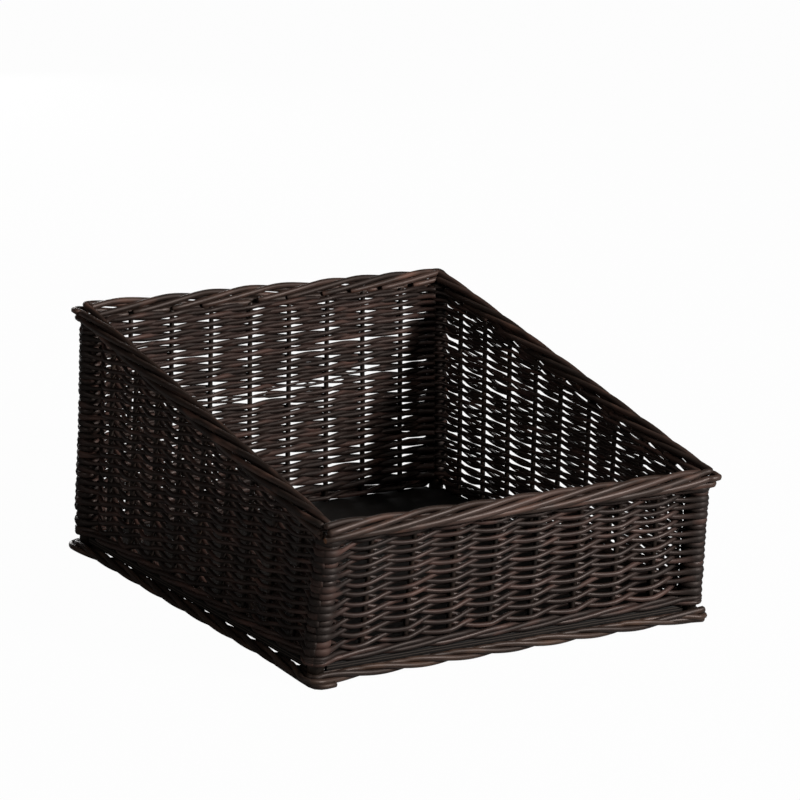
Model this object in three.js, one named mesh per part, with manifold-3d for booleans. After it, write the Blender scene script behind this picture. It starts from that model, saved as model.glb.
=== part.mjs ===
// Wicker display basket with a tall back and a low front: a plywood base board, four corner posts,
// rows of willow stakes standing in holes in the board, weavers that pass in front of one stake and
// behind the next and turn round the posts, a rim of three long rods laid up on each side, and a
// twisted foot border under the board. Millimetres, +Z up, front towards -Y.

import * as THREE from 'three';
import { mergeVertices } from 'three/addons/utils/BufferGeometryUtils.js';
import Module from 'manifold-3d';

const wasm = await Module();
wasm.setup();

// Plan and heights: the rim and the foot lie a little outside the line of the posts
const post_span_x = 373;
const post_span_y = 373;
const border_offset = 5.5;
const rim_height_front = 126;
const rim_height_back = 212;
const back_lean_degrees = 3.6;
const front_lean_degrees = 1.2;
const side_lean_degrees = -1.4;

// Base board
const board_thickness = 6;
const board_margin = 4;

// Uprights
const post_diameter = 14;
const stake_diameter = 5;
const stakes_front = 8;
const stakes_side = 9;

// Weave: the weavers lie in bands of a few rods side by side
const weaver_diameter = 4;
const weavers_per_band = 3;
const crossing_width = 6;
const slit_share = 0.12;
const shortest_row_share = 0.15;
const wrap_slack = 1.3;

// Rim and foot
const rim_rod_diameter = 8;
const rim_rods_per_side = 3;
const rim_lay_length = 420;
const rim_lay_slack = 1.02;
const rim_overhang = 13;
const foot_rod_diameter = 5.2;
const foot_lay_share = 0.45;
const foot_tip_share = 0.36;
const foot_waist_share = 0.4;
const foot_lay_length = 130;
const foot_overhang = 10;
const foot_flat = 0.5;

// Fit and facets
const clearance = 0.3;
const cut_margin = 1;
const weld_distance = 1e-4;
const post_sides = 10;
const stake_sides = 6;
const rod_sides = 6;
const rim_steps = 11;
const foot_steps_per_half_turn = 4;
const sleeve_steps = 4;
const longest_turn = 1.2 * Math.PI;

// Colours of the stained willow and the board
const weaver_colour = 0x33241d;
const stake_colour = 0x2a1d18;
const post_colour = 0x2c1f19;
const rim_colour = 0x3b2a23;
const foot_colour = 0x30221c;
const board_colour = 0x16120f;

// Levels that follow from the driving sizes
const post_radius = post_diameter / 2;
const stake_radius = stake_diameter / 2;
const half_x = post_span_x / 2;
const half_y = post_span_y / 2;
const border_half_x = half_x + border_offset;
const border_half_y = half_y + border_offset;
const foot_lay_radius = foot_rod_diameter * foot_lay_share;
const foot_radius = foot_lay_radius + foot_rod_diameter / 2;
const foot_half_tip = foot_rod_diameter * foot_tip_share;
const foot_tip = Math.sqrt(foot_radius ** 2 - foot_half_tip ** 2);
const foot_centre = foot_tip - foot_flat;
const board_bottom = foot_centre + foot_radius + clearance;
const board_top = board_bottom + board_thickness;
const weave_bottom = board_top + clearance;
const rim_pitch = (rim_rod_diameter + clearance) * rim_lay_slack;
const rim_lay_radius = rim_pitch / (2 * Math.sin(Math.PI / rim_rods_per_side));
const rim_radius = rim_lay_radius + rim_rod_diameter / 2;
const rim_slope = (rim_height_back - rim_height_front) / (2 * border_half_y);
const rim_slant = Math.atan(rim_slope);
const rim_level = (y) => rim_height_front + (y + border_half_y) * rim_slope;
const band_height = weaver_diameter * weavers_per_band;

// How high the uprights and weavers may reach below the rim
const front_limit = rim_height_front - rim_radius - clearance;
const back_limit = rim_height_back - rim_radius - clearance;
const side_limit = (y) => Math.min(rim_level(y) - rim_radius / Math.cos(rim_slant) - clearance, back_limit);

// Everything is laid out on upright walls, then leaned: the back and front walls tip outwards and
// the side walls tip a little inwards, in proportion to height.
const back_lean = Math.tan(THREE.MathUtils.degToRad(back_lean_degrees));
const front_lean = Math.tan(THREE.MathUtils.degToRad(front_lean_degrees));
const side_lean = Math.tan(THREE.MathUtils.degToRad(side_lean_degrees));

function lean(geometry) {
  const place = geometry.attributes.position;
  for (let i = 0; i < place.count; i += 1) {
    const x = place.getX(i);
    const y = place.getY(i);
    const z = place.getZ(i);
    const towards_back = 0.5 + y / (2 * border_half_y);
    const shift_y = z * (back_lean * towards_back - front_lean * (1 - towards_back));
    place.setXYZ(i, x + (z * side_lean * x) / border_half_x, y + shift_y, z);
  }
  return geometry;
}

const basket = new THREE.Group();

function addPiece(name, geometry, colour, roughness) {
  const material = new THREE.MeshStandardMaterial({ color: colour, roughness, metalness: 0 });
  const mesh = new THREE.Mesh(lean(geometry), material);
  mesh.name = name;
  basket.add(mesh);
}

// Joining and cutting of closed meshes
function toSolid(geometry) {
  const bare = geometry.clone();
  bare.deleteAttribute('normal');
  bare.deleteAttribute('uv');
  const merged = mergeVertices(bare, weld_distance);
  return new wasm.Manifold(new wasm.Mesh({
    numProp: 3,
    vertProperties: new Float32Array(merged.attributes.position.array),
    triVerts: new Uint32Array(merged.index.array),
  }));
}

function toGeometry(solid) {
  const mesh = solid.getMesh();
  const geometry = new THREE.BufferGeometry();
  geometry.setAttribute('position', new THREE.BufferAttribute(new Float32Array(mesh.vertProperties), 3));
  geometry.setIndex(new THREE.BufferAttribute(new Uint32Array(mesh.triVerts), 1));
  return geometry;
}

// The four walls, each seen from outside: along runs from its left post to its right post and out is
// the outward normal
const walls = [
  { name: 'front', start: [-half_x, -half_y], along: [1, 0], length: post_span_x, stakes: stakes_front },
  { name: 'right', start: [half_x, -half_y], along: [0, 1], length: post_span_y, stakes: stakes_side },
  { name: 'back', start: [half_x, half_y], along: [-1, 0], length: post_span_x, stakes: stakes_front },
  { name: 'left', start: [-half_x, half_y], along: [0, -1], length: post_span_y, stakes: stakes_side },
];

for (const wall of walls) {
  wall.out = [wall.along[1], -wall.along[0]];
  wall.spacing = wall.length / (wall.stakes + 1);
  wall.at = (u, n) => [
    wall.start[0] + wall.along[0] * u + wall.out[0] * n,
    wall.start[1] + wall.along[1] * u + wall.out[1] * n,
  ];
  wall.limit = (u) => {
    if (wall.name === 'front') return front_limit;
    if (wall.name === 'back') return back_limit;
    return side_limit(wall.at(u, 0)[1]);
  };
  const highest = Math.max(wall.limit(0), wall.limit(wall.length)) - weave_bottom;
  wall.row_height = highest / Math.round(highest / band_height);
}

function polygon(radius, sides, x, y) {
  const path = new THREE.Path();
  for (let i = 0; i < sides; i += 1) {
    const angle = (2 * Math.PI * (i + 0.5)) / sides;
    const px = x + radius * Math.cos(angle);
    const py = y + radius * Math.sin(angle);
    if (i === 0) path.moveTo(px, py);
    else path.lineTo(px, py);
  }
  path.closePath();
  return path;
}

// A round stick standing between two levels
function stick(radius, sides, x, y, low, high) {
  const geometry = new THREE.CylinderGeometry(radius, radius, high - low, sides);
  geometry.rotateX(Math.PI / 2);
  geometry.rotateZ(Math.PI / sides);
  geometry.translate(x, y, (low + high) / 2);
  return geometry;
}

// Base board: one sheet of plywood, drilled for every stake and notched at the corners, where the
// posts pass down beside it.
function boardGeometry() {
  const edge_x = half_x + board_margin;
  const edge_y = half_y + board_margin;
  const outline = new THREE.Shape();
  outline.moveTo(-edge_x, -edge_y);
  outline.lineTo(edge_x, -edge_y);
  outline.lineTo(edge_x, edge_y);
  outline.lineTo(-edge_x, edge_y);
  outline.closePath();
  const hole_radius = (stake_radius + clearance) / Math.cos(Math.PI / stake_sides);
  for (const wall of walls) {
    for (let k = 1; k <= wall.stakes; k += 1) {
      const [x, y] = wall.at(k * wall.spacing, 0);
      outline.holes.push(polygon(hole_radius, stake_sides, x, y));
    }
  }
  const sheet = new THREE.ExtrudeGeometry(outline, { depth: board_thickness, bevelEnabled: false });
  let board = toSolid(sheet.translate(0, 0, board_bottom));
  const notch_radius = (post_radius + clearance) / Math.cos(Math.PI / post_sides);
  const notch_reach = 2 * (board_margin + notch_radius);
  for (const sign_x of [-1, 1]) {
    for (const sign_y of [-1, 1]) {
      const notch = new THREE.Shape();
      notch.absarc(0, 0, notch_radius, Math.PI / 2, (3 * Math.PI) / 2);
      notch.lineTo(notch_reach, -notch_radius);
      notch.lineTo(notch_reach, notch_radius);
      notch.closePath();
      const cutter = new THREE.ExtrudeGeometry(notch, {
        depth: board_thickness + 2 * cut_margin,
        bevelEnabled: false,
        curveSegments: post_sides / 2,
      });
      cutter.rotateZ(Math.atan2(sign_y, sign_x));
      cutter.translate(sign_x * half_x, sign_y * half_y, board_bottom - cut_margin);
      board = board.subtract(toSolid(cutter));
    }
  }
  return toGeometry(board);
}

addPiece('base_board', boardGeometry(), board_colour, 0.7);

// Corner posts: thick sticks from the foot border up to the rims of both sides that meet there
for (const [side_y, y, limit] of [['front', -half_y, front_limit], ['back', half_y, back_limit]]) {
  const top = Math.min(limit, side_limit(y - post_radius));
  for (const [side_x, x] of [['left', -half_x], ['right', half_x]]) {
    const post = stick(post_radius, post_sides, x, y, board_bottom, top);
    addPiece(`corner_post_${side_y}_${side_x}`, post, post_colour, 0.6);
  }
}

// Stakes: thinner sticks through the board, each cut off just under the rim
for (const wall of walls) {
  for (let k = 1; k <= wall.stakes; k += 1) {
    const u = k * wall.spacing;
    const [x, y] = wall.at(u, 0);
    const top = Math.min(wall.limit(u - stake_radius), wall.limit(u + stake_radius));
    const stake = stick(stake_radius, stake_sides, x, y, board_bottom, top);
    addPiece(`stake_${wall.name}_${k}`, stake, stake_colour, 0.6);
  }
}

// Weave: every row is a chain of stations. Rows lie on each other where they cross between two
// stakes and round the left post, and part to the two sides of each stake. Level rows end where the
// slant comes down on them, and one closing row follows the rim.
function weaveGeometry(wall) {
  const half_rod = weaver_diameter / 2;
  const bulge = stake_radius + half_rod + wrap_slack * clearance;
  const turn_half_step = longest_turn / sleeve_steps / 2;
  const turn_radius = post_radius / Math.cos(turn_half_step) + clearance + half_rod;
  const first_crossing = wall.spacing / 2 - crossing_width / 2;
  const leave_angle = Math.acos(turn_radius / first_crossing);
  const neighbour_angle = Math.asin((half_rod + 2 * clearance) / (turn_radius - half_rod));
  const turn_start = 1.5 * Math.PI - neighbour_angle;
  const stations = [];
  for (let k = 0; k <= sleeve_steps; k += 1) {
    const angle = turn_start + ((leave_angle - turn_start) * k) / sleeve_steps;
    const reach = (radius) => wall.at(radius * Math.cos(angle), radius * Math.sin(angle));
    const outer = reach(turn_radius + half_rod);
    const inner = reach(turn_radius - half_rod);
    const beside = side_limit(Math.min(outer[1], inner[1]));
    stations.push({
      limit: Math.min(wall.limit(turn_radius * Math.cos(angle)), beside),
      outer: () => outer,
      inner: () => inner,
      stacked: k < sleeve_steps,
      slit: 0,
    });
  }
  const flat = (u, offset, stacked, slit) => stations.push({
    limit: wall.limit(u),
    outer: (row) => wall.at(u, offset(row) + half_rod),
    inner: (row) => wall.at(u, offset(row) - half_rod),
    stacked,
    slit,
  });
  const straight = () => 0;
  for (let k = 0; k <= wall.stakes; k += 1) {
    const middle = (k + 0.5) * wall.spacing;
    flat(middle - crossing_width / 2, straight, true, 0);
    flat(middle + crossing_width / 2, straight, false, 0);
    if (k < wall.stakes) {
      flat((k + 1) * wall.spacing, (row) => ((row + k) % 2 === 0 ? bulge : -bulge), false, slit_share);
    }
  }
  flat(wall.length - post_radius - clearance, straight, false, slit_share);
  return rowsGeometry(wall, stations);
}

function rowsGeometry(wall, stations) {
  const closing_floor = (index) => stations[index].limit - wall.row_height;
  const level_floor = (row) => weave_bottom + row * wall.row_height;
  const last = stations.length - 1;
  const fits = (index, row) => {
    const room = closing_floor(index) - level_floor(row);
    return room >= shortest_row_share * wall.row_height;
  };
  const spans = [];
  for (let index = 0; index < last; index += 1) {
    if (stations[index].stacked) spans.push(index);
  }

  // A level row takes the whole turn round the post or none of it
  const whole_turn = Array.from({ length: sleeve_steps + 1 }, (_, index) => index);
  const opens = (index, row) => {
    const needed = index < sleeve_steps ? whole_turn : [index, index + 1];
    return needed.every((place) => fits(place, row));
  };

  // It runs from the first crossing it fits under to the last one, or on to the wall's end
  const level_rows = [];
  for (let row = 0; ; row += 1) {
    const open = spans.filter((index) => opens(index, row));
    if (open.length === 0) break;
    const to = fits(last, row) ? last : open[open.length - 1] + 1;
    level_rows.push({ from: open[0], to });
  }
  const covers = (row, index) => {
    const span = level_rows[row];
    return span !== undefined && index >= span.from && index < span.to;
  };
  const ceiling = (row, index) => {
    const covered = covers(row + 1, index - 1) || covers(row + 1, index);
    return covered ? level_floor(row + 1) : closing_floor(index);
  };

  const points = [];
  const quad = (a, b, c, d) => points.push(...a, ...b, ...c, ...a, ...c, ...d);
  const addRow = (row, from, to, low_of, high_of, roofed, floored) => {
    const corners = (index) => {
      const station = stations[index];
      const slit = station.slit * (high_of(index) - low_of(index));
      const low = low_of(index) + (floored ? slit : 0);
      const high = high_of(index) - (roofed ? slit : 0);
      return {
        outer_low: [...station.outer(row), low],
        outer_high: [...station.outer(row), high],
        inner_low: [...station.inner(row), low],
        inner_high: [...station.inner(row), high],
      };
    };
    const head = corners(from);
    const tail = corners(to);
    quad(head.outer_low, head.outer_high, head.inner_high, head.inner_low);
    quad(tail.outer_low, tail.inner_low, tail.inner_high, tail.outer_high);
    for (let index = from; index < to; index += 1) {
      const a = corners(index);
      const b = corners(index + 1);
      const stacked = stations[index].stacked;
      quad(a.outer_low, b.outer_low, b.outer_high, a.outer_high);
      quad(b.inner_low, a.inner_low, a.inner_high, b.inner_high);
      if (!(stacked && roofed)) quad(a.outer_high, b.outer_high, b.inner_high, a.inner_high);
      if (!(stacked && floored)) quad(a.inner_low, b.inner_low, b.outer_low, a.outer_low);
    }
  };
  level_rows.forEach(({ from, to }, row) => {
    addRow(row, from, to, () => level_floor(row), (index) => ceiling(row, index), true, row > 0);
  });
  const closing_row = level_rows.length;
  addRow(closing_row, 0, last, closing_floor, (index) => stations[index].limit, false, true);

  const geometry = new THREE.BufferGeometry();
  geometry.setAttribute('position', new THREE.Float32BufferAttribute(points, 3));
  return mergeVertices(geometry, weld_distance);
}

for (const wall of walls) {
  addPiece(`weave_${wall.name}`, weaveGeometry(wall), weaver_colour, 0.55);
}

// A rod that winds round a straight centre line
class LaidRod extends THREE.Curve {
  constructor(from, to, lay_radius, lay_length, phase) {
    super();
    this.from = from;
    this.to = to;
    this.lay_radius = lay_radius;
    this.turns = from.distanceTo(to) / lay_length;
    this.phase = phase;
    const line = to.clone().sub(from).normalize();
    this.side = new THREE.Vector3(0, 0, 1).cross(line).normalize();
    this.rise = line.clone().cross(this.side);
  }

  getPoint(t, target = new THREE.Vector3()) {
    const angle = this.phase + 2 * Math.PI * this.turns * (t - 0.5);
    target.lerpVectors(this.from, this.to, t);
    target.addScaledVector(this.side, this.lay_radius * Math.sin(angle));
    target.addScaledVector(this.rise, -this.lay_radius * Math.cos(angle));
    return target;
  }
}

function rodGeometry(path, diameter, steps) {
  const section = new THREE.Shape(polygon(diameter / 2, rod_sides, 0, 0).getPoints());
  return new THREE.ExtrudeGeometry(section, { extrudePath: path, steps, bevelEnabled: false });
}

// Rim: three long rods laid up on each side. The front and back rods run out past the corners, and
// the slanted side rods lie between them.
const side_end = border_half_y - rim_radius - rim_radius * Math.sin(rim_slant) - clearance;
const rim_end = border_half_x + rim_overhang;
const rim_lines = {
  front: [[-rim_end, -border_half_y, rim_height_front], [rim_end, -border_half_y, rim_height_front]],
  right: [[border_half_x, -side_end, rim_level(-side_end)], [border_half_x, side_end, rim_level(side_end)]],
  back: [[rim_end, border_half_y, rim_height_back], [-rim_end, border_half_y, rim_height_back]],
  left: [[-border_half_x, side_end, rim_level(side_end)], [-border_half_x, -side_end, rim_level(-side_end)]],
};

for (const [side, [from, to]] of Object.entries(rim_lines)) {
  for (let k = 0; k < rim_rods_per_side; k += 1) {
    const phase = (2 * Math.PI * k) / rim_rods_per_side;
    const path = new LaidRod(
      new THREE.Vector3(...from), new THREE.Vector3(...to), rim_lay_radius, rim_lay_length, phase);
    addPiece(`rim_rod_${side}_${k + 1}`, rodGeometry(path, rim_rod_diameter, rim_steps), rim_colour, 0.5);
  }
}

// Foot border: two rods twisted into each other under each edge of the board, worn flat where the
// basket stands.
const foot_end = border_half_y - foot_radius - clearance;
const foot_reach = border_half_x + foot_overhang;
const foot_lines = {
  front: [[-foot_reach, -border_half_y], [foot_reach, -border_half_y]],
  right: [[border_half_x, -foot_end], [border_half_x, foot_end]],
  back: [[foot_reach, border_half_y], [-foot_reach, border_half_y]],
  left: [[-border_half_x, foot_end], [-border_half_x, -foot_end]],
};

// The outline across two rods that lie against each other, flattened at both tips
function twinSection() {
  const waist = foot_rod_diameter * foot_waist_share;
  const half = [[foot_tip, -foot_half_tip], [foot_tip, foot_half_tip], [0, waist]];
  return [...half, ...half.map(([a, b]) => [-a, -b])];
}

function footGeometry(from, to) {
  const start = new THREE.Vector3(...from, foot_centre);
  const line = new THREE.Vector3(...to, foot_centre).sub(start);
  const length = line.length();
  const across = new THREE.Vector3(-line.y, line.x, 0).normalize();
  const section = twinSection();
  const half_turns = 2 * Math.round(length / foot_lay_length);
  const steps = half_turns * foot_steps_per_half_turn;
  const points = [];
  const index = [];
  for (let step = 0; step <= steps; step += 1) {
    const share = step / steps;
    const angle = Math.PI * (0.5 + half_turns * (share - 0.5));
    for (const [a, b] of section) {
      const place = start.clone().addScaledVector(line, share);
      place.addScaledVector(across, a * Math.cos(angle) - b * Math.sin(angle));
      place.z += a * Math.sin(angle) + b * Math.cos(angle);
      points.push(place.x, place.y, place.z);
    }
  }
  const around = section.length;
  for (let step = 0; step < steps; step += 1) {
    for (let k = 0; k < around; k += 1) {
      const here = step * around + k;
      const next = step * around + ((k + 1) % around);
      index.push(here, next, next + around, here, next + around, here + around);
    }
  }
  for (let k = 1; k < around - 1; k += 1) {
    const far = steps * around;
    index.push(0, k + 1, k, far, far + k, far + k + 1);
  }
  const twist = new THREE.BufferGeometry();
  twist.setAttribute('position', new THREE.Float32BufferAttribute(points, 3));
  twist.setIndex(index);
  const above_floor = new THREE.BoxGeometry(2 * length, 2 * length, 4 * foot_radius);
  above_floor.translate((from[0] + to[0]) / 2, (from[1] + to[1]) / 2, 2 * foot_radius);
  return toGeometry(toSolid(twist).intersect(toSolid(above_floor)));
}

for (const [side, [from, to]] of Object.entries(foot_lines)) {
  addPiece(`foot_border_${side}`, footGeometry(from, to), foot_colour, 0.6);
}

// Origin at the middle of the footprint, on the floor
const extent = new THREE.Box3().setFromObject(basket);
const middle = extent.getCenter(new THREE.Vector3());
basket.position.set(-middle.x, -middle.y, -extent.min.z);
const part = new THREE.Group();
part.add(basket);

export default part;
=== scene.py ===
# Wicker display basket: a wedge of dark stained willow woven on a plywood board.
# The sections follow the order in which the basket is made.

import math

import bpy
import numpy as np
from mathutils import Matrix, Vector


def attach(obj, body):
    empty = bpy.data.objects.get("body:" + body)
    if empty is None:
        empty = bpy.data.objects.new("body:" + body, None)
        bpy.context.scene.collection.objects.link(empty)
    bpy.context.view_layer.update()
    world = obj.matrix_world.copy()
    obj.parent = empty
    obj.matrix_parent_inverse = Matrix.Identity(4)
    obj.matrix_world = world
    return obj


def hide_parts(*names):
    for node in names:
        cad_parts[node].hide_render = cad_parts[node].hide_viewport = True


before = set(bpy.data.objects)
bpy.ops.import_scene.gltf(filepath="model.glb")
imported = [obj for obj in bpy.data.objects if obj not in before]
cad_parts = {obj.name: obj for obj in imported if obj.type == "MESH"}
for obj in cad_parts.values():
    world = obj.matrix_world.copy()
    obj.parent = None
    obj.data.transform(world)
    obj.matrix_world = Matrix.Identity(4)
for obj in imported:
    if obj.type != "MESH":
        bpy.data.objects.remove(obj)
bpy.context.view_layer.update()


# Base board: one square of thin plywood, stained almost black with the rest of the basket.
# It is notched at the corners for the posts, and its plies show as fine lines on the cut edge.

wall_half = 0.1865
border_out = 0.0055
border_half = wall_half + border_out
rim_front = 0.126
rim_back = 0.212
back_lean = math.tan(math.radians(3.6))
front_lean = math.tan(math.radians(1.2))
side_lean = math.tan(math.radians(-1.4))
middle_offset = -0.005418
past_corner = 0.1

# The basket is made by hand and isn't quite true: how far its corners stand off, at the foot and
# at the rim, in the order front left, front right, back left, back right
corner_shares = [(0, 0), (1, 0), (0, 1), (1, 1)]
foot_off_true = [(-0.0016, 0.0016, 0), (0, -0.0009, 0), (0.0011, -0.0008, 0), (0, 0, 0)]
rim_off_true = [
    (-0.0003, 0.0003, 0),
    (0.001, 0.0002, 0.0005),
    (0.0006, 0.0003, -0.0015),
    (0, 0.0004, -0.0012),
]


def stand(points):
    """Moves points of the upright layout to where the leaning walls have them."""
    x, y, z = np.asarray(points, float).T
    to_right = np.clip(0.5 + x / (2 * border_half), -past_corner, 1 + past_corner)
    to_back = np.clip(0.5 + y / (2 * border_half), -past_corner, 1 + past_corner)
    rim_height = rim_front + to_back * (rim_back - rim_front)
    lift = np.clip(z / rim_height, 0, 1 + past_corner)[:, None]
    moved = np.stack([
        x + z * side_lean * x / border_half,
        y + z * (back_lean * to_back - front_lean * (1 - to_back)) + middle_offset,
        z,
    ], axis=1)
    for (right, back), foot_off, rim_off in zip(corner_shares, foot_off_true, rim_off_true):
        share = (to_right if right else 1 - to_right) * (to_back if back else 1 - to_back)
        moved += share[:, None] * (np.array(foot_off) * (1 - lift) + np.array(rim_off) * lift)
    return moved


def new_finish(name):
    """An empty node material and its shader."""
    finish = bpy.data.materials.new(name)
    finish.use_nodes = True
    nodes = finish.node_tree.nodes
    nodes.clear()
    shader = nodes.new("ShaderNodeBsdfPrincipled")
    output = nodes.new("ShaderNodeOutputMaterial")
    finish.node_tree.links.new(shader.outputs["BSDF"], output.inputs["Surface"])
    return finish, finish.node_tree, shader


def attribute(tree, name, output):
    """A value that the mesh carries."""
    node = tree.nodes.new("ShaderNodeAttribute")
    node.attribute_name = name
    return node.outputs[output]


def grain_noise(tree, vector, stretch, detail=3.0):
    """Noise drawn out along the fibre, in features for each metre."""
    mapping = tree.nodes.new("ShaderNodeMapping")
    mapping.inputs["Scale"].default_value = stretch
    tree.links.new(vector, mapping.inputs["Vector"])
    noise = tree.nodes.new("ShaderNodeTexNoise")
    noise.inputs["Scale"].default_value = 1.0
    noise.inputs["Detail"].default_value = detail
    noise.inputs["Roughness"].default_value = 0.6
    tree.links.new(mapping.outputs["Vector"], noise.inputs["Vector"])
    return noise.outputs["Fac"]


def colour_steps(tree, value, steps):
    """Colours along a value from 0 to 1."""
    ramp = tree.nodes.new("ShaderNodeValToRGB")
    ramp.color_ramp.elements[0].position = steps[0][0]
    ramp.color_ramp.elements[0].color = (*steps[0][1], 1)
    ramp.color_ramp.elements[1].position = steps[-1][0]
    ramp.color_ramp.elements[1].color = (*steps[-1][1], 1)
    for place, colour in steps[1:-1]:
        ramp.color_ramp.elements.new(place).color = (*colour, 1)
    tree.links.new(value, ramp.inputs["Fac"])
    return ramp.outputs["Color"]


def spread(tree, value, low, high, start=0.0, stop=1.0):
    """A value between start and stop spread between two limits."""
    node = tree.nodes.new("ShaderNodeMapRange")
    node.inputs["From Min"].default_value = start
    node.inputs["From Max"].default_value = stop
    node.inputs["To Min"].default_value = low
    node.inputs["To Max"].default_value = high
    tree.links.new(value, node.inputs["Value"])
    return node.outputs["Result"]


def combine(tree, operation, first, second):
    """Two values added or multiplied."""
    node = tree.nodes.new("ShaderNodeMath")
    node.operation = operation
    tree.links.new(first, node.inputs[0])
    tree.links.new(second, node.inputs[1])
    return node.outputs["Value"]


def blend_colours(tree, factor, under, over, mode="MIX"):
    """One colour laid over another, by a factor from 0 to 1."""
    factor_socket = 0
    under_socket = 6
    over_socket = 7
    blended_socket = 2
    node = tree.nodes.new("ShaderNodeMix")
    node.data_type = "RGBA"
    node.blend_type = mode
    for value, socket in ((factor, factor_socket), (under, under_socket), (over, over_socket)):
        if isinstance(value, (int, float)):
            node.inputs[socket].default_value = value
        elif isinstance(value, tuple):
            node.inputs[socket].default_value = (*value, 1)
        else:
            tree.links.new(value, node.inputs[socket])
    return node.outputs[blended_socket]


def add_bump(tree, shader, height, strength, distance):
    """Fine relief on a surface."""
    bump = tree.nodes.new("ShaderNodeBump")
    bump.inputs["Strength"].default_value = strength
    bump.inputs["Distance"].default_value = distance
    tree.links.new(height, bump.inputs["Height"])
    tree.links.new(bump.outputs["Normal"], shader.inputs["Normal"])


def stained_plywood():
    """Black-brown stained plywood, with pale glue lines on the cut edge."""
    plies_per_metre = 480
    wave_scale = plies_per_metre * math.pi / 10
    wave_wander = 0.5
    line_start = 0.6
    fibre_stretch = (40, 480, 480)
    cloud_stretch = (10, 10, 10)
    black_brown = (0.0035, 0.0027, 0.0022)
    worn_brown = (0.013, 0.0095, 0.0075)
    glue_line = (0.05, 0.038, 0.031)
    matt = (0.6, 0.85)
    gloss = 0.2
    relief = 0.5
    relief_depth = 0.0002
    finish, tree, shader = new_finish("stained_plywood")
    place = tree.nodes.new("ShaderNodeTexCoord").outputs["Object"]
    fibre = grain_noise(tree, place, fibre_stretch)
    cloud = grain_noise(tree, place, cloud_stretch)
    wear = combine(tree, "MULTIPLY", fibre, cloud)
    colour = colour_steps(tree, wear, [(0.15, black_brown), (0.5, worn_brown)])
    plies = tree.nodes.new("ShaderNodeTexWave")
    plies.bands_direction = "Z"
    plies.inputs["Scale"].default_value = wave_scale
    plies.inputs["Distortion"].default_value = wave_wander
    tree.links.new(place, plies.inputs["Vector"])
    line = spread(tree, plies.outputs["Fac"], 0, 1, line_start, 1.0)
    line = combine(tree, "MULTIPLY", line, attribute(tree, "edge", "Fac"))
    tree.links.new(blend_colours(tree, line, colour, glue_line), shader.inputs["Base Color"])
    tree.links.new(spread(tree, cloud, *matt), shader.inputs["Roughness"])
    shader.inputs["Specular IOR Level"].default_value = gloss
    height = combine(tree, "ADD", plies.outputs["Fac"], fibre)
    add_bump(tree, shader, height, relief, relief_depth)
    return finish


def finish_piece(name, mesh, finish, replaced):
    """Hangs a mesh in the scene in place of the plain solids it stands for."""
    mesh.materials.append(finish)
    mesh.update()
    piece = bpy.data.objects.new(name, mesh)
    bpy.context.scene.collection.objects.link(piece)
    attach(piece, "root")
    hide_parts(*replaced)
    return piece


board_bottom = 0.00931
board_top = 0.01531
board_reach = 0.0035
notch_reach = 0.0085
board_half = wall_half + board_reach
notch_half = wall_half - notch_reach
board_round = 0.0006


def board_mesh():
    """A notched square plate with its edges slightly rounded."""
    quarter = [(board_half, -notch_half), (board_half, notch_half), (notch_half, notch_half)]
    outline = []
    for turn in range(4):
        for x, y in quarter:
            for _ in range(turn):
                x, y = -y, x
            outline.append((x, y))
    layers = [
        (board_bottom, board_round),
        (board_bottom + board_round, 0),
        (board_top - board_round, 0),
        (board_top, board_round),
    ]
    points = []
    for z, inset in layers:
        for x, y in outline:
            scale = 1 - inset / wall_half
            points.append((x * scale, y * scale, z))
    count = len(outline)
    faces = []
    for layer in range(len(layers) - 1):
        for k in range(count):
            here = layer * count
            there = here + count
            following = (k + 1) % count
            faces.append((here + k, here + following, there + following, there + k))
    edge_faces = len(faces)
    top_ring = count * (len(layers) - 1)
    faces.append(tuple(reversed(range(count))))
    faces.append(tuple(range(top_ring, top_ring + count)))
    mesh = bpy.data.meshes.new("base_board")
    mesh.from_pydata(stand(points).tolist(), [], faces)
    edge = mesh.attributes.new("edge", "FLOAT", "FACE")
    edge.data.foreach_set("value", [1.0] * edge_faces + [0.0, 0.0])
    return mesh


finish_piece("base_board_ply", board_mesh(), stained_plywood(), ["base_board"])


# Corner posts: four thick peeled willow sticks, stained dark, that stand in the notched corners of
# the board. Only their lower ends stay bare; the weavers are wound round the rest.

post_radius = 0.007
post_steps = 18
post_below_board = 0.002
post_under_rim = 0.006
post_wander = 0.0002
post_unevenness = 0.0001
post_tone = 0.5
rng = np.random.default_rng(4)


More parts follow.
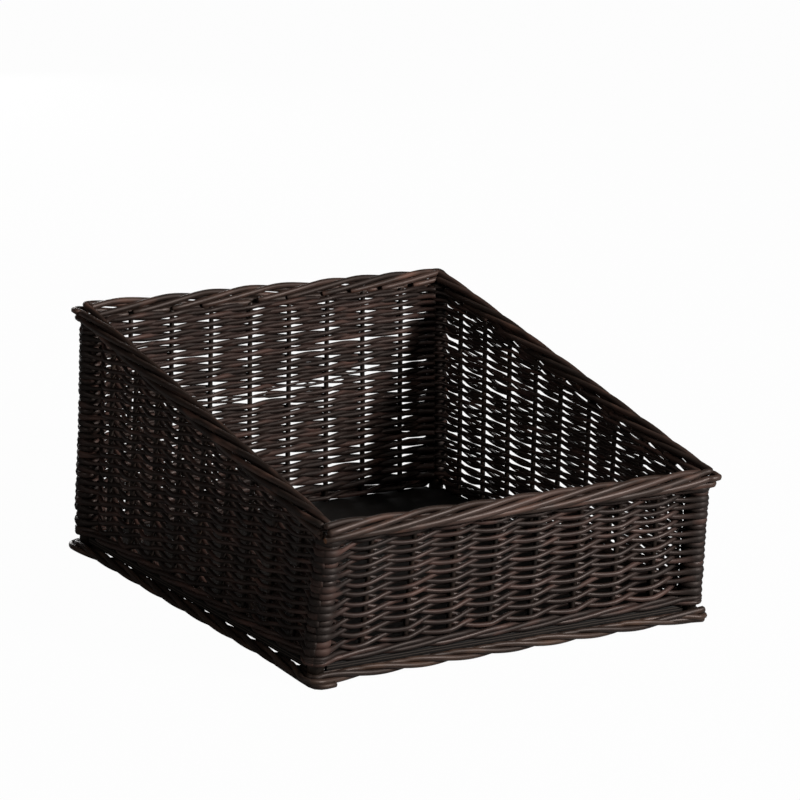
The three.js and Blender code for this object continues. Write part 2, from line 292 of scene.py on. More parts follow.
class Bundle:
    """Round rods gathered into one mesh, with each rod's own tone and its fibre direction."""

    upright_from = 0.8
    dome = 0.35
    end_share = 0.74
    narrowing = 0.5
    fibre_shift = 9

    def __init__(self):
        self.points = []
        self.faces = []
        self.fibre = []
        self.tone = []
        self.cut = []
        self.count = 0

    def lay(self, path, radius, tone, sides=8, cut=0.0, flat=0.0):
        """Adds a rod along a path. Radius, tone and flat (how far the rod is pressed flat) are one
        number or one for each point; cut says how pale the cut ends are."""
        path = stand(path)
        steps = len(path)
        values = [np.asarray(value, float) for value in (radius, tone, flat)]
        radius, tone, flat = [np.broadcast_to(value, (steps,)) for value in values]
        line = np.gradient(path, axis=0)
        line /= np.linalg.norm(line, axis=1)[:, None]
        upright = abs(line[:, 2]).mean() > self.upright_from
        level = np.array([1.0, 0, 0]) if upright else np.array([0, 0, 1.0])
        side = np.cross(line, level)
        side /= np.linalg.norm(side, axis=1)[:, None]
        rise = np.cross(side, line)
        run = np.concatenate([[0], np.cumsum(np.linalg.norm(np.diff(path, axis=0), axis=1))])
        # Each end gets a smaller ring, so that it is cut square with a rounded edge
        centre = np.concatenate([
            path[:1] - line[:1] * radius[0] * self.dome,
            path,
            path[-1:] + line[-1:] * radius[-1] * self.dome,
        ])

        def with_ends(values, share=1.0):
            return np.concatenate([values[:1] * share, values, values[-1:] * share])

        wide = with_ends(radius * (1 - self.narrowing * flat), self.end_share)
        tall = with_ends(radius * (1 + flat), self.end_share)
        side = with_ends(side)
        rise = with_ends(rise)
        run = with_ends(run)
        turn = np.arange(sides) * 2 * math.pi / sides
        across = np.cos(turn)[None, :, None] * side[:, None] * wide[:, None, None]
        upward = np.sin(turn)[None, :, None] * rise[:, None] * tall[:, None, None]
        ring = centre[:, None] + across + upward
        rings = steps + 2
        index = self.count + np.arange(rings * sides).reshape(rings, sides)
        here = index[:-1]
        there = index[1:]
        quads = np.stack([here, np.roll(here, -1, 1), np.roll(there, -1, 1), there], axis=2)
        self.faces.extend(quads.reshape(-1, 4).tolist())
        self.faces.append(index[0][::-1].tolist())
        self.faces.append(index[-1].tolist())
        self.points.append(ring.reshape(-1, 3))
        fibre = np.zeros((rings, sides, 3))
        fibre[:, :, 0] = np.cos(turn) * radius.mean()
        fibre[:, :, 1] = np.sin(turn) * radius.mean()
        fibre[:, :, 2] = run[:, None]
        shift = rng.uniform(-self.fibre_shift, self.fibre_shift, 3)
        self.fibre.append(fibre.reshape(-1, 3) + shift)
        self.tone.append(np.repeat(with_ends(tone), sides))
        ends = np.zeros((rings, sides))
        ends[0] = cut
        ends[-1] = cut
        self.cut.append(ends.reshape(-1))
        self.count += rings * sides

    def piece(self, name, finish, slot, replaced):
        """Makes the rods one smooth piece of the scene."""
        mesh = bpy.data.meshes.new(name)
        mesh.from_pydata(np.concatenate(self.points).tolist(), [], self.faces)
        fibre = mesh.attributes.new("fibre", "FLOAT_VECTOR", "POINT")
        fibre.data.foreach_set("vector", np.concatenate(self.fibre).astype(np.float32).ravel())
        for label, values in (("tone", self.tone), ("cut", self.cut)):
            layer = mesh.attributes.new(label, "FLOAT", "POINT")
            layer.data.foreach_set("value", np.concatenate(values).astype(np.float32))
        mesh.polygons.foreach_set("use_smooth", [True] * len(mesh.polygons))
        return finish_piece(name, mesh, finish, replaced)


def stained_willow(name, dark, middle, light, rubbed):
    """Peeled willow in a brown-black stain: each rod has its tone, with fibre streaks, a satin
    surface and paler brown where the stain is thin or rubbed."""
    heart = (0.20, 0.085, 0.04)
    middle_tone = 0.55
    streak_stretch = (1100, 1100, 30)
    streak_steps = [(0.3, (0.55, 0.53, 0.52)), (0.7, (1.3, 1.26, 1.24))]
    patch_stretch = (60, 60, 22)
    patch_detail = 2.0
    thin_from = 0.54
    thin_to = 0.78
    satin = (0.36, 0.54)
    dullest = 0.2
    dull_below = 0.5
    gloss = 0.34
    warm_shine = (1.0, 0.84, 0.77, 1)
    relief = 0.35
    relief_depth = 0.0004
    finish, tree, shader = new_finish(name)
    fibre = attribute(tree, "fibre", "Vector")
    streak = grain_noise(tree, fibre, streak_stretch)
    patch = grain_noise(tree, fibre, patch_stretch, patch_detail)
    tone = attribute(tree, "tone", "Fac")
    stain = colour_steps(tree, tone, [(0.0, dark), (middle_tone, middle), (1.0, light)])
    depth = colour_steps(tree, streak, streak_steps)
    stain = blend_colours(tree, 1.0, stain, depth, "MULTIPLY")
    thin = spread(tree, patch, 0, 1, thin_from, thin_to)
    stain = blend_colours(tree, thin, stain, rubbed)
    stain = blend_colours(tree, attribute(tree, "cut", "Fac"), stain, heart)
    tree.links.new(stain, shader.inputs["Base Color"])
    # A rod that took more stain is duller
    dull = spread(tree, tone, dullest, 0, 0, dull_below)
    rough = combine(tree, "ADD", spread(tree, patch, *satin), dull)
    tree.links.new(rough, shader.inputs["Roughness"])
    shader.inputs["Specular IOR Level"].default_value = gloss
    shader.inputs["Specular Tint"].default_value = warm_shine
    add_bump(tree, shader, streak, relief, relief_depth)
    return finish


post_finish = stained_willow(
    "stained_post",
    dark=(0.006, 0.0042, 0.0032),
    middle=(0.010, 0.007, 0.005),
    light=(0.02, 0.013, 0.009),
    rubbed=(0.03, 0.018, 0.012),
)
post_places = {
    "front_left": (-1, -1, rim_front),
    "front_right": (1, -1, rim_front),
    "back_left": (-1, 1, rim_back),
    "back_right": (1, 1, rim_back),
}
for name, (right, back, rim) in post_places.items():
    post = Bundle()
    path = np.zeros((post_steps, 3))
    path[:, 0] = right * wall_half
    path[:, 1] = back * wall_half
    path[:, 2] = np.linspace(board_bottom - post_below_board, rim - post_under_rim, post_steps)
    path[:, :2] += rng.normal(0, post_wander, (post_steps, 2))
    radius = post_radius + rng.normal(0, post_unevenness, post_steps)
    post.lay(path, radius, post_tone, sides=16)
    post.piece(f"post_{name}", post_finish, "willow_post", [f"corner_post_{name}"])


# Stakes: thin willow rods standing in the board's holes, eight across the front and back and nine
# along each side. They carry the weave and bend over into the rim.

stake_radius = 0.0023
stake_stray = 0.0009
stake_steps = 22
stake_under_rim = 0.005
stake_drift = 0.00012
stake_wander = 0.00008
stake_taper = np.linspace(1.04, 0.92, stake_steps)
rim_slope = (rim_back - rim_front) / (2 * border_half)


class Wall:
    """One side of the basket seen from outside, running from its left post to its right post."""

    def __init__(self, name, start, along, stakes, parity, half):
        self.name = name
        self.start = np.array(start) * half
        self.along = np.array(along, float)
        self.out = np.array([along[1], -along[0]], float)
        self.stakes = stakes
        self.parity = parity
        self.length = 2 * half
        self.spacing = self.length / (stakes + 1)
        self.marks = np.arange(1, stakes + 1) * self.spacing + rng.normal(0, stake_stray, stakes)
        self.slanted = name in ("left", "right")

    def at(self, u, n, z):
        """Points at a distance along the wall, out from the line of the stakes, and up."""
        u, n, z = np.broadcast_arrays(np.asarray(u, float), n, z)
        plan = self.start + u[:, None] * self.along + n[:, None] * self.out
        return np.concatenate([plan, z[:, None]], axis=1)

    def back_share(self, u):
        """How far back along the side a place is: 0 at the front posts, 1 at the back posts."""
        return 0.5 + (self.start[1] + np.asarray(u, float) * self.along[1]) / self.length

    def rim(self, u):
        """Height of the rim's middle."""
        if self.name == "front":
            return np.full(np.shape(u), rim_front)
        if self.name == "back":
            return np.full(np.shape(u), rim_back)
        y = self.start[1] + np.asarray(u, float) * self.along[1]
        return np.clip(rim_front + (y + border_half) * rim_slope, rim_front, rim_back)


def four_walls(half):
    """The four sides in the order in which a weaver goes round the basket."""
    return [
        Wall("front", (-1, -1), (1, 0), stakes=8, parity=0, half=half),
        Wall("right", (1, -1), (0, 1), stakes=9, parity=1, half=half),
        Wall("back", (1, 1), (-1, 0), stakes=8, parity=1, half=half),
        Wall("left", (-1, 1), (0, -1), stakes=9, parity=0, half=half),
    ]


walls = four_walls(wall_half)

stake_finish = stained_willow(
    "stained_stake",
    dark=(0.005, 0.0035, 0.0027),
    middle=(0.009, 0.006, 0.0045),
    light=(0.018, 0.012, 0.009),
    rubbed=(0.03, 0.018, 0.012),
)
for wall in walls:
    stakes = Bundle()
    for u in wall.marks:
        levels = np.linspace(board_bottom, float(wall.rim(u)) - stake_under_rim, stake_steps)
        drift = np.cumsum(rng.normal(0, stake_drift, stake_steps))
        wander = rng.normal(0, stake_wander, stake_steps)
        path = wall.at(u + drift - drift.mean(), wander, levels)
        stakes.lay(path, stake_radius * stake_taper, rng.uniform(0, 1))
    names = [f"stake_{wall.name}_{k}" for k in range(1, wall.stakes + 1)]
    stakes.piece(f"stakes_{wall.name}", stake_finish, "willow_stake", names)


# Weave: every row is a pair of thin willow weavers, twisted once between each two stakes, one outside
# and one inside each stake. More turns cover the posts, and three twisted rods start the weave on the
# board. On the slanted sides the upper rows run out under a last row along the rim.

wall_length = 2 * wall_half
weave_lift = 0.0002
weave_bottom = board_top + weave_lift
under_rim = 0.0062
rows_low = 12
rows_high_back = 15
rows_right = (12, 12)
rows_left = (11, 10)
thinning_low = 0.72
thinning_high_back = 0.9
thinning_side = 0.9
back_raise = -0.009
top_tilt = 0.45
closing_height = 0.0054
closing_tuck = 0.0016
thinnest_row = 0.3
wale_height = 0.0088

# How thick the rods are at some heights, how much thicker on the back wall, and the most of a row's
# height that a rod's radius may take
rod_levels = [0.024, 0.07, 0.12, 0.206]
rod_radii = [0.00205, 0.00188, 0.00175, 0.00178]
back_swell = [1.22, 1.14, 1.0, 1.07]
rod_share = 0.36

# How far a row's two weavers part in height where they cross, how far the inner one lies above the
# outer one at a stake, both as a share of the row height, and how thick the rods are
twists = {
    "front": (0.28, 0.40, 1.06),
    "right": (0.28, 0.34, 0.98),
    "back": (0.25, 0.34, 1.17),
    "left": (0.28, 0.40, 1.05),
}
part_range = (0.75, 1.15)
thick_range = (0.92, 1.08)
bow_squeeze = 0.0003
bow_stray = 0.0002
row_stray = 0.00055
wave_share = 0.5
steps = 10
corner_count = 4


def row_edges(bottom, top, rows, thinning):
    """Heights between rows that get thinner towards the top."""
    share = np.linspace(1, thinning, rows)
    return bottom + np.concatenate([[0], np.cumsum(share)]) * (top - bottom) / share.sum()


low_front = row_edges(weave_bottom + wale_height, rim_front - under_rim, rows_low, thinning_low)
low_back = low_front + back_raise * np.linspace(0, 1, rows_low + 1)
back_top = rim_back - under_rim + closing_tuck
high_back = row_edges(low_back[-1], back_top, rows_high_back, thinning_high_back)
back_edges = np.concatenate([low_back, high_back[1:]])


def side_edges(rows):
    """Rows of a side wall, level at the bottom and tilted a little with the rim at the top."""
    rows_under, rows_over = rows
    low = row_edges(weave_bottom + wale_height, rim_front - under_rim, rows_under, thinning_side)
    high = row_edges(low[-1], rim_back - under_rim, rows_over, 1.0)
    at_back = np.concatenate([low, high[1:]])
    return at_back - np.linspace(0, top_tilt * rim_slope * wall_length, len(at_back)), at_back


# The heights between the rows at the front and at the back end of each wall
wall_edges = {
    "front": (low_front, low_front),
    "right": side_edges(rows_right),
    "back": (back_edges, back_edges),
    "left": side_edges(rows_left),
}

turn_height = 0.0054
turn_thinning = 0.7
turn_swell = 0.4
turn_flat = 0.25
turn_power = 3
# How much the weavers' tone is darkened where they turn round a post: painted shade in the corners
turn_painted_shade = 3.4
turn_sit = 0.8
turn_angles = np.radians(np.linspace(135, 72, 7))
inside_sit = 2.5


def turn_levels(edges):
    """Levels of the turns that cover a post."""
    count = round((edges[-1] - edges[0]) / turn_height)
    between = row_edges(edges[0], edges[-1], count, turn_thinning)
    return (between[1:] + between[:-1]) / 2


turns = [turn_levels(edges) for edges in (low_front, low_front, back_edges, back_edges)]


def rod_radius(wall, low, high):
    """Weavers are thinner higher up, and where a row is pressed under the rim."""
    thick = twists[wall.name][2] * np.interp(low, rod_levels, rod_radii)
    if wall.name == "back":
        thick = thick * np.interp(low, rod_levels, back_swell)
    return np.minimum(thick, rod_share * (high - low))


def level_row(wall, row):
    """The lower and upper edge of a row along a wall, and where the row still has room."""
    def edges(u):
        front, back = wall_edges[wall.name]
        share = wall.back_share(u)
        low = front[row] + (back[row] - front[row]) * share
        high = front[row + 1] + (back[row + 1] - front[row + 1]) * share
        top = high
        if wall.slanted:
            top = np.minimum(high, wall.rim(u) - under_rim - closing_height + closing_tuck)
        room = top - low > thinnest_row * (high - low)
        return low, np.maximum(top, low + thinnest_row * (high - low)), room
    return edges


def closing_row(wall):
    """The row that follows a slanted rim and is half tucked into it."""
    def edges(u):
        high = wall.rim(u) - under_rim + closing_tuck
        return high - closing_height, high, np.full(np.shape(u), True)
    return edges


def lead(post_place, stake_place, out):
    """The way of a weaver from a post to the stake next to it."""
    straight = 0.45
    curved = 0.55
    steepness = 0.85
    t = np.arange(1, steps) / steps
    u = post_place[0] + (stake_place[0] - post_place[0]) * t
    gap = stake_place[1] - post_place[1]
    if out:
        return u, post_place[1] + gap * (straight * t + curved * (2 * t - t * t))
    slope = steepness * abs(stake_place[0] - post_place[0])
    ease = 3 * t ** 2 - 2 * t ** 3
    return u, post_place[1] + gap * ease + slope * (t ** 3 - 2 * t ** 2 + t)


def weaver(wall, edges, partner, first_turn, last_turn):
    """One of a row's two weavers from corner to corner: places along the wall and out from it,
    heights, radii, how far it is pressed flat, and where it has room."""
    goes_out = [(k + partner + wall.parity) % 2 == 0 for k in range(wall.stakes + 2)]
    marks = np.concatenate([[0], wall.marks, [wall_length]])
    low, high, _ = edges(marks)
    mark_radius = rod_radius(wall, low, high)
    places = []
    for k, toward in ((0, 1), (wall.stakes + 1, -1)):
        if goes_out[k]:
            coil = post_radius + turn_sit * mark_radius[k]
            turn = np.stack([coil * np.cos(turn_angles), coil * np.sin(turn_angles)], axis=1)
        else:
            inside = post_radius + inside_sit * mark_radius[k]
            turn = np.array([[inside, -inside]]) * math.sqrt(0.5)
        places.append(turn * (toward, 1) + (marks[k], 0))
    left_turn, right_turn = places
    stray = rng.normal(0, bow_stray, wall.stakes)
    bow = stake_radius + mark_radius[1:-1] - bow_squeeze + stray
    n_marks = np.where(goes_out[1:-1], bow, -bow)

    t = np.arange(steps) / steps
    ease = wave_share * (1 - np.cos(math.pi * t)) / 2 + (1 - wave_share) * t
    inner = np.arange(1, steps) / steps
    first_u, first_n = lead(left_turn[-1], (marks[1], n_marks[0]), goes_out[0])
    last_u, last_n = lead(right_turn[-1], (marks[-2], n_marks[-1]), goes_out[-1])
    u_run = [left_turn[:, 0], first_u]
    n_run = [left_turn[:, 1], first_n]
    # Where the weaver goes in it passes over its partner, where it comes out it passes under
    over = [1.0 if out else -1.0 for out in goes_out]
    cross = [np.zeros(len(left_turn)), over[0] * np.sin(math.pi * inner)]
    at_left = [np.ones(len(left_turn)), (1 - inner) ** 2]
    at_right = [np.zeros(len(left_turn) + len(inner))]
    for k in range(wall.stakes - 1):
        u_run.append(wall.marks[k] + (wall.marks[k + 1] - wall.marks[k]) * t)
        n_run.append(n_marks[k] + (n_marks[k + 1] - n_marks[k]) * ease)
        cross.append(over[k + 1] * np.sin(math.pi * t))
    between = steps * (wall.stakes - 1) + 1
    u_run += [wall.marks[-1:], last_u[::-1], right_turn[::-1, 0]]
    n_run += [n_marks[-1:], last_n[::-1], right_turn[::-1, 1]]
    cross += [np.zeros(1), over[-2] * np.sin(math.pi * inner), np.zeros(len(right_turn))]
    at_left.append(np.zeros(between + len(inner) + len(right_turn)))
    at_right += [np.zeros(between), inner ** 2, np.ones(len(right_turn))]
    u, n, cross, at_left, at_right = [
        np.concatenate(run) for run in (u_run, n_run, cross, at_left, at_right)]
    low, high, room = edges(u)
    outward = np.clip(n / bow.mean(), -1, 1)
    stray = np.concatenate([[0], rng.normal(0, row_stray, wall.stakes), [0]])
    part, inner_rise, _ = twists[wall.name]
    part = part * rng.uniform(*part_range)
    lift = (part * cross - inner_rise / 2 * outward) * (high - low)
    z = (low + high) / 2 + lift + np.interp(u, marks, stray)
    swell = np.ones(len(u))
    ends = ((at_left, first_turn, goes_out[0]), (at_right, last_turn, goes_out[-1]))
    for share, turn, out in ends:
        if turn is not None and out:
            z = z + (turn - z) * share
            swell = swell + turn_swell * share ** turn_power
    thick = np.interp(u, [0, wall_length], rng.uniform(*thick_range, 2)) * swell
    at_turn = np.maximum(at_left * goes_out[0], at_right * goes_out[-1])
    flat = turn_flat * at_turn ** turn_power
    return u, n, z, rod_radius(wall, low, high) * thick, flat, room


# The turns that cover a wall's left post
ring_share = 0.4
ring_sit = 0.56
ring_steps = 19
ring_angles = np.radians(np.linspace(-45, 318, ring_steps))
ring_climb = np.linspace(-0.0004, 0.0004, ring_steps)

# Three rods along the board, each in front of two stakes and behind one
wale_radius = 0.0022
wale_rods = 3
wale_steps = 10
wale_swing = 1.1
wale_phases = [0, 0.24, 0.5, 0.76, 1]
wale_waves = [-1, 0.85, 1.1, 0.85, -1]
wale_to_post = 0.016
wale_turn_steps = 4
wale_angles = np.radians(np.linspace(135, 95, wale_turn_steps))

# Where weavers on the back ran out and the next ones start: stake from the right, height
back_joins = [(2, 0.1336), (3, 0.1300), (4, 0.1260), (5, 0.1230), (6, 0.1215), (7, 0.1210)]
join_reach = 0.45
join_thickness = 0.6
fewest_points = 3

# How the rods' tones are shared out between dark and light: the two numbers of a beta curve
weaver_tones = (1.3, 1.5)
ring_tones = (1.1, 3.4)
wale_tones = (2, 2)

weaver_finish = stained_willow(
    "stained_weaver",
    dark=(0.007, 0.0046, 0.0038),
    middle=(0.021, 0.0132, 0.0108),
    light=(0.051, 0.031, 0.0262),
    rubbed=(0.086, 0.043, 0.033),
)
for side, wall in enumerate(walls):
    weave = Bundle()
    following = (side + 1) % corner_count
    thin_places = {}
    if wall.name == "back":
        for stake, height in back_joins:
            row = int(np.searchsorted(back_edges, height)) - 1
            thin_places.setdefault(row, []).append(stake)
    rows = [level_row(wall, row) for row in range(len(wall_edges[wall.name][0]) - 1)]
    if wall.slanted:
        rows.append(closing_row(wall))
    for row, edges in enumerate(rows):
        low, high, _ = edges(np.array([0, wall_length]))
        ends = []
        for level, corner in zip((low + high) / 2, (side, following)):
            off = turns[corner] - level
            nearest = np.argmin(np.abs(off))
            ends.append(turns[corner][nearest] if abs(off[nearest]) < turn_height else None)
        for partner in (0, 1):
            u, n, z, radius, flat, room = weaver(wall, edges, partner, ends[0], ends[1])
            tone = np.interp(u, [0, wall_length], rng.beta(*weaver_tones, 2))
            # Painted shade: the weavers are drawn darker where they wrap round the posts
            tone = tone * (1 - turn_painted_shade * flat)
            for stake in thin_places.get(row, []):
                to_stake = np.abs(wall.marks[stake - 1] - u) / wall.spacing
                radius = np.where(to_stake < join_reach, join_thickness * radius, radius)
            kept = np.flatnonzero(room)
            if len(kept) > fewest_points:
                path = wall.at(u[kept], n[kept], z[kept])
                weave.lay(path, radius[kept], tone[kept], flat=flat[kept])
    for level, apart in zip(turns[side], np.gradient(turns[side])):
        ring_radius = ring_share * apart
        coil = post_radius + ring_sit * ring_radius
        ring = wall.at(coil * np.cos(ring_angles), coil * np.sin(ring_angles), level + ring_climb)
        weave.lay(ring, ring_radius, rng.beta(*ring_tones), flat=turn_flat)
    marks_before = sum(other.stakes + 1 for other in walls[:side])
    for rod in range(wale_rods):
        u = np.linspace(0, wall_length, (wall.stakes + 1) * wale_steps + 1)
        place = marks_before + u / wall.spacing
        phase = ((place - rod) / wale_rods) % 1.0
        n = np.interp(phase, wale_phases, wale_waves) * (stake_radius + wale_radius)
        to_post = np.minimum(u, wall_length - u)
        at_post = np.clip(1 - to_post / wale_to_post, 0, 1)
        at_post = at_post * at_post * (3 - 2 * at_post)
        n = n + at_post * (post_radius + wale_radius - n)
        swing = (wale_height / 2 - wale_radius) * wale_swing
        z = weave_bottom + wale_height / 2 - swing * np.sin(2 * math.pi * phase)
        turn = np.stack([np.cos(wale_angles), np.sin(wale_angles)], axis=1)
        turn = (post_radius + wale_radius) * turn
        other_turn = turn[::-1] * (-1, 1) + (wall_length, 0)
        path_u = np.concatenate([turn[:, 0], u, other_turn[:, 0]])
        path_n = np.concatenate([turn[:, 1], n, other_turn[:, 1]])
        path_z = np.pad(z, wale_turn_steps, mode="edge")
        weave.lay(wall.at(path_u, path_n, path_z), wale_radius, rng.beta(*wale_tones))
    weave.piece(f"weave_{wall.name}_rods", weaver_finish, "willow_weaver", [f"weave_{wall.name}"])


# Rim: the stakes of each side are bent to the right and rolled over each other, from the outside
# over the top to the inside, so that five rods lie round each other. The roll starts at the front
# left corner, where its cut ends show, and turns the other corners in loose loops.

rim_rod_radius = 0.00275
rim_thick_end = 1.1
rim_taper = 0.24
rim_lay = 0.0056
rim_lay_stray = 0.00025
rim_crown = 0.0011
crown_power = 4
rim_spread = (0.95, 1.05)
rim_step = 0.007
fewest_rim_steps = 6
shortest_rim_rod = 0.012
roll_parts = 9.5
roll_gaps = 5.3
roll_from = math.radians(-120)
roll_to = math.radians(215)
start_reach = 0.004
start_stray = 0.003
butt_gap = 0.003
rim_loop = 0.006
rim_turn = 0.004
tightest_turn = 0.001
pale_within = 1.5
pale_cut = 0.75
dull_cut = 0.06
rim_tones = (1.6, 1.7)
hair = 1e-9
borders = four_walls(border_half)
border_length = 2 * border_half
roll_spacing = border_length / roll_parts


def turn_corners(u, n, reach_least, loop, open_left=False, open_right=False):
    """Bends a line along a side round the side's two corners, as far as the diagonals."""
    reach = np.maximum(reach_least, tightest_turn - n)
    swing_out = loop * np.maximum(n, 0) / rim_lay
    for post, toward, is_open in ((0.0, 1, open_left), (border_length, -1, open_right)):
        to_post = (u - post) * toward
        share = np.clip(1 - to_post / reach, 0, 1)
        if is_open:
            share = np.zeros_like(share)
        angle = share * math.pi / 4
        swing = reach + n + swing_out * share
        bent_u = post + toward * (reach - swing * np.sin(angle))
        bent_n = swing * np.cos(angle) - reach
        u = np.where(share > 0, bent_u, u)
        n = np.where(share > 0, bent_n, n)
    return u, n


rim_finish = stained_willow(
    "stained_rim",
    dark=(0.012, 0.0078, 0.006),
    middle=(0.034, 0.0215, 0.0165),
    light=(0.072, 0.0445, 0.036),
    rubbed=(0.13, 0.065, 0.046),
)
rims = [Bundle() for border in borders]
whole_border = border_length * corner_count
starts = []
for side, border in enumerate(borders):
    starts += [side * border_length + k * border.spacing for k in range(border.stakes + 1)]
starts += [-k * borders[0].spacing for k in range(1, int(roll_gaps))]
past_corner_steps = np.array([0, 0.002, 0.004, 0.006, 0.009, 0.012])
near_corner = np.concatenate([-past_corner_steps[:0:-1], past_corner_steps])
corners = np.arange(1, corner_count) * border_length
bends = (corners[:, None] + near_corner[None]).ravel()
for begin in starts:
    length = roll_gaps * roll_spacing * rng.uniform(*rim_spread)
    low = max(begin, -start_reach + rng.uniform(0, start_stray))
    high = min(begin + length, whole_border - butt_gap)
    if high - low < shortest_rim_rod:
        continue
    run = np.linspace(low, high, max(fewest_rim_steps, int((high - low) / rim_step)))
    run = np.unique(np.concatenate([run, bends[(bends > low) & (bends < high)]]))
    share = (run - begin) / length
    roll = roll_from + (roll_to - roll_from) * share
    crown = rim_crown * np.maximum(np.sin(roll), 0) ** crown_power
    lay = rim_lay + rng.normal(0, rim_lay_stray) + crown
    radius = rim_rod_radius * (rim_thick_end - rim_taper * share) * rng.uniform(*rim_spread)
    tone = rng.beta(*rim_tones)
    cut = 0.0
    if begin < 0:
        cut = pale_cut if begin > -pale_within * roll_spacing else dull_cut
    for side, border in enumerate(borders):
        from_left = run - side * border_length
        here = (from_left >= -hair) & (from_left <= border_length + hair)
        if side == 0:
            here |= run < 0
        if here.sum() < 2:
            continue
        u = from_left[here]
        n = lay[here] * np.cos(roll[here])
        z = border.rim(u) + lay[here] * np.sin(roll[here])
        u, n = turn_corners(u, n, rim_turn, rim_loop, side == 0, side == corner_count - 1)
        rims[side].lay(border.at(u, n, z), radius[here], tone, sides=10, cut=cut)
for border, rim in zip(borders, rims):
    names = [f"rim_rod_{border.name}_{k}" for k in (1, 2, 3)]
    rim.piece(f"rim_{border.name}", rim_finish, "willow_rim", names)


# Foot border: the stakes' lower ends come out under the board and are twisted in threes along its
# edge and round the posts, so that the basket stands on willow and the board is off the floor.

foot_rod_radius = 0.0024
foot_middle = 0.00515
foot_lay_out = 0.0034
foot_lay_up = 0.00275
foot_rods = 3
foot_steps = 110
foot_flare = 0.0055
flare_length = 0.045
foot_turn = 0.005
under_board = -0.001
foot_tones = (1.8, 1.8)

# The straight rod inside the twist, which sags a little on the left side
straight_in = -0.0052
straight_end = 0.004
straight_steps = 90
straight_tone = 0.1
left_sag = 0.0019
sag_length = 0.034

# The rod that runs on past the front left corner: from the corner along the side, out and up
tail = np.array([
    (-0.05, 0.002, 0.0028),
    (-0.03, 0.003, 0.0026),
    (-0.012, 0.004, 0.0025),
    (0.003, 0.0045, 0.0025),
    (0.009, 0.003, 0.0025),
    (0.012, -0.001, 0.0025),
    (0.0125, -0.006, 0.0025),
    (0.0118, -0.014, 0.0026),
])
tail_tone = 0.35

# The two butt ends at the front right corner
butt_radius = 0.0031
butt_top = 0.0112
butt_reach = 0.0022
butt_length = 0.05
butt_steps = 12
butt_inner = 0.001
lower_butt_tone = 0.55
upper_butt_tone = 0.4
foot_cut = 0.1

foot_finish = stained_willow(
    "stained_foot",
    dark=(0.010, 0.0066, 0.005),
    middle=(0.022, 0.0138, 0.0105),
    light=(0.045, 0.028, 0.021),
    rubbed=(0.085, 0.045, 0.028),
)
foot_places = np.unique(np.concatenate([
    np.linspace(0, border_length, foot_steps),
    past_corner_steps,
    border_length - past_corner_steps,
]))
for side, border in enumerate(borders):
    foot = Bundle()
    before = sum(other.stakes + 1 for other in borders[:side])
    for rod in range(foot_rods):
        u = foot_places
        roll = 2 * math.pi * (rod - before - u / border.spacing) / foot_rods
        n = foot_lay_out * np.cos(roll)
        z = foot_middle + foot_lay_up * np.sin(roll)
        # Under the board the rods are pressed down by it
        z = np.where(n < under_board, np.minimum(z, board_bottom - foot_rod_radius), z)
        to_corner = np.minimum(u, border_length - u)
        n = n + foot_flare * np.clip(1 - to_corner / flare_length, 0, 1) ** 2
        u, n = turn_corners(u, n, foot_turn, 0.0)
        foot.lay(border.at(u, n, z), foot_rod_radius, rng.beta(*foot_tones), sides=10)
    u = np.linspace(straight_end, border_length - straight_end, straight_steps)
    sag = left_sag if border.name == "left" else 0.0
    z = board_bottom - foot_rod_radius - sag * (1 + np.sin(2 * math.pi * u / sag_length))
    foot.lay(border.at(u, straight_in, z), foot_rod_radius, straight_tone, sides=10)
    if border.name == "left":
        path = border.at(border_length + tail[:, 0], tail[:, 1], tail[:, 2])
        foot.lay(path, foot_rod_radius, tail_tone, sides=10, cut=foot_cut)
    if border.name == "front":
        u = border_length + np.linspace(-butt_length, butt_reach, butt_steps)
        n = np.linspace(butt_inner, foot_flare, butt_steps)
        radius = np.linspace(foot_rod_radius, butt_radius, butt_steps)
        for height, tone in ((butt_radius, lower_butt_tone), (butt_top, upper_butt_tone)):
            z = np.linspace(foot_middle, height, butt_steps)
            foot.lay(border.at(u, n, z), radius, tone, sides=10, cut=foot_cut)
    foot.piece(f"foot_{border.name}", foot_finish, "willow_foot", [f"foot_border_{border.name}"])


# Studio: a white floor and backdrop, a large lamp to the right of the camera, weaker ones on the
# left, above and behind, and the camera where the photographer stood.

def white_floor():
    """White to the camera, with a trace of the shadow; grey to the light that falls on it."""
    paper_grey = (0.35, 0.35, 0.35, 1)
    seen_white = 0.98
    finish = bpy.data.materials.new("studio_white")
    finish.use_nodes = True
    tree = finish.node_tree
    tree.nodes.clear()
    paper = tree.nodes.new("ShaderNodeBsdfDiffuse")
    paper.inputs["Color"].default_value = paper_grey
    glow = tree.nodes.new("ShaderNodeEmission")
    glow.inputs["Color"].default_value = (1, 1, 1, 1)
    glow.inputs["Strength"].default_value = 1.0
    path = tree.nodes.new("ShaderNodeLightPath")
    seen = tree.nodes.new("ShaderNodeMath")
    seen.operation = "MULTIPLY"
    seen.inputs[1].default_value = seen_white
    tree.links.new(path.outputs["Is Camera Ray"], seen.inputs[0])
    mix = tree.nodes.new("ShaderNodeMixShader")
    output = tree.nodes.new("ShaderNodeOutputMaterial")
    tree.links.new(seen.outputs["Value"], mix.inputs["Fac"])
    tree.links.new(paper.outputs["BSDF"], mix.inputs[1])
    tree.links.new(glow.outputs["Emission"], mix.inputs[2])
    tree.links.new(mix.outputs["Shader"], output.inputs["Surface"])
    return finish


floor_half = 6.0
floor_drop = 0.0003
floor_corners = [(x * floor_half, y * floor_half, 0) for x, y in ((-1, -1), (1, -1), (1, 1), (-1, 1))]
floor_mesh = bpy.data.meshes.new("studio_floor")
floor_mesh.from_pydata(floor_corners, [], [(0, 1, 2, 3)])
floor_mesh.materials.append(white_floor())
floor = bpy.data.objects.new("studio_floor", floor_mesh)
floor.location.z = -floor_drop
bpy.context.scene.collection.objects.link(floor)

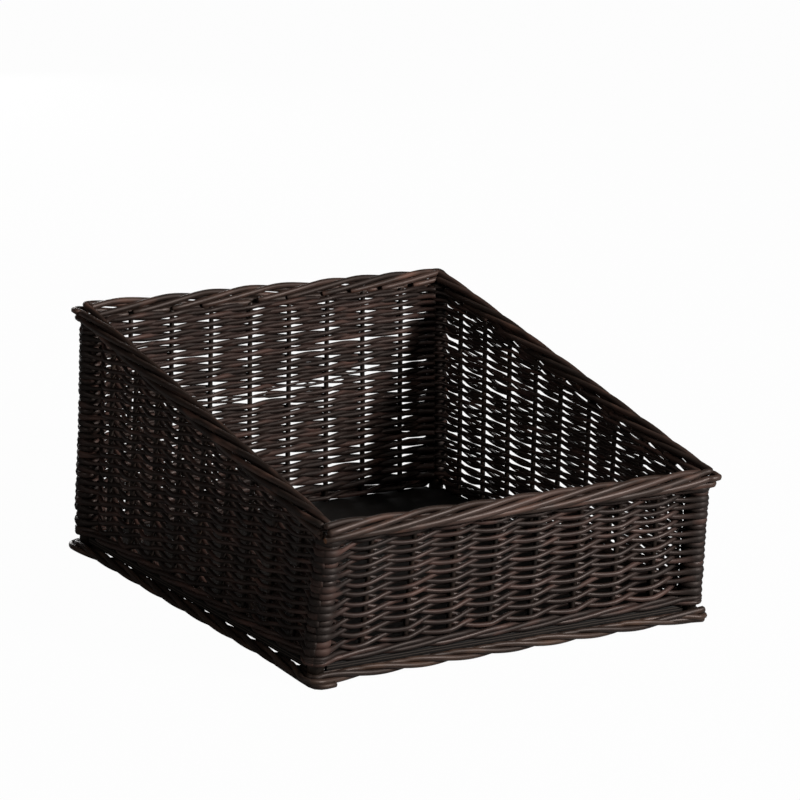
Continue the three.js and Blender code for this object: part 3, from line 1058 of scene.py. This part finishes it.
ambient_strength = 0.012
world = bpy.data.worlds.new("studio")
bpy.context.scene.world = world
world.use_nodes = True
sky = world.node_tree
sky.nodes.clear()
backdrop = sky.nodes.new("ShaderNodeBackground")
backdrop.inputs["Color"].default_value = (1, 1, 1, 1)
backdrop.inputs["Strength"].default_value = 1.0
ambient = sky.nodes.new("ShaderNodeBackground")
ambient.inputs["Color"].default_value = (1, 1, 1, 1)
ambient.inputs["Strength"].default_value = ambient_strength
ray = sky.nodes.new("ShaderNodeLightPath")
sky_mix = sky.nodes.new("ShaderNodeMixShader")
sky_output = sky.nodes.new("ShaderNodeOutputWorld")
sky.links.new(ray.outputs["Is Camera Ray"], sky_mix.inputs["Fac"])
sky.links.new(ambient.outputs["Background"], sky_mix.inputs[1])
sky.links.new(backdrop.outputs["Background"], sky_mix.inputs[2])
sky.links.new(sky_mix.outputs["Shader"], sky_output.inputs["Surface"])

lamp_aim = Vector((0, 0, 0.1))


def soft_lamp(name, place, size, power):
    """A square lamp that looks at the basket."""
    light = bpy.data.lights.new(name, "AREA")
    light.shape = "SQUARE"
    light.size = size
    light.energy = power
    lamp = bpy.data.objects.new(name, light)
    lamp.location = place
    lamp.rotation_euler = (lamp_aim - Vector(place)).to_track_quat("-Z", "Y").to_euler()
    bpy.context.scene.collection.objects.link(lamp)


soft_lamp("right_lamp", (1.25, -2.1, 1.45), size=0.75, power=96)
soft_lamp("left_lamp", (-2.6, -0.3, 1.2), size=1.0, power=8)
soft_lamp("top_lamp", (-0.2, -0.8, 2.4), size=1.4, power=6)
soft_lamp("back_lamp", (0.5, 2.4, 0.55), size=1.0, power=26)

camera_azimuth = math.radians(-35.01)
camera_elevation = math.radians(14.81)
camera_roll = math.radians(3.365)
camera_distance = 2.88
camera_target = Vector((0.01187, 0.0, 0.16192))
focal_pixels = 3379.5
image_width = 800
sensor_width = 36.0
farthest_seen = 50
backward = Vector((
    math.sin(camera_azimuth) * math.cos(camera_elevation),
    -math.cos(camera_azimuth) * math.cos(camera_elevation),
    math.sin(camera_elevation),
))
level_right = Vector((math.cos(camera_azimuth), math.sin(camera_azimuth), 0))
level_up = backward.cross(level_right)
right = math.cos(camera_roll) * level_right + math.sin(camera_roll) * level_up
up = -math.sin(camera_roll) * level_right + math.cos(camera_roll) * level_up
lens = bpy.data.cameras.new("photo_camera")
lens.sensor_width = sensor_width
lens.lens = focal_pixels * sensor_width / image_width
lens.clip_end = farthest_seen
camera = bpy.data.objects.new("photo_camera", lens)
place = camera_target + backward * camera_distance
camera.matrix_world = Matrix((
    (right.x, up.x, backward.x, place.x),
    (right.y, up.y, backward.y, place.y),
    (right.z, up.z, backward.z, place.z),
    (0, 0, 0, 1),
))
bpy.context.scene.collection.objects.link(camera)
bpy.context.scene.camera = camera
bpy.context.scene.view_settings.view_transform = "Standard"

bpy.context.view_layer.update()
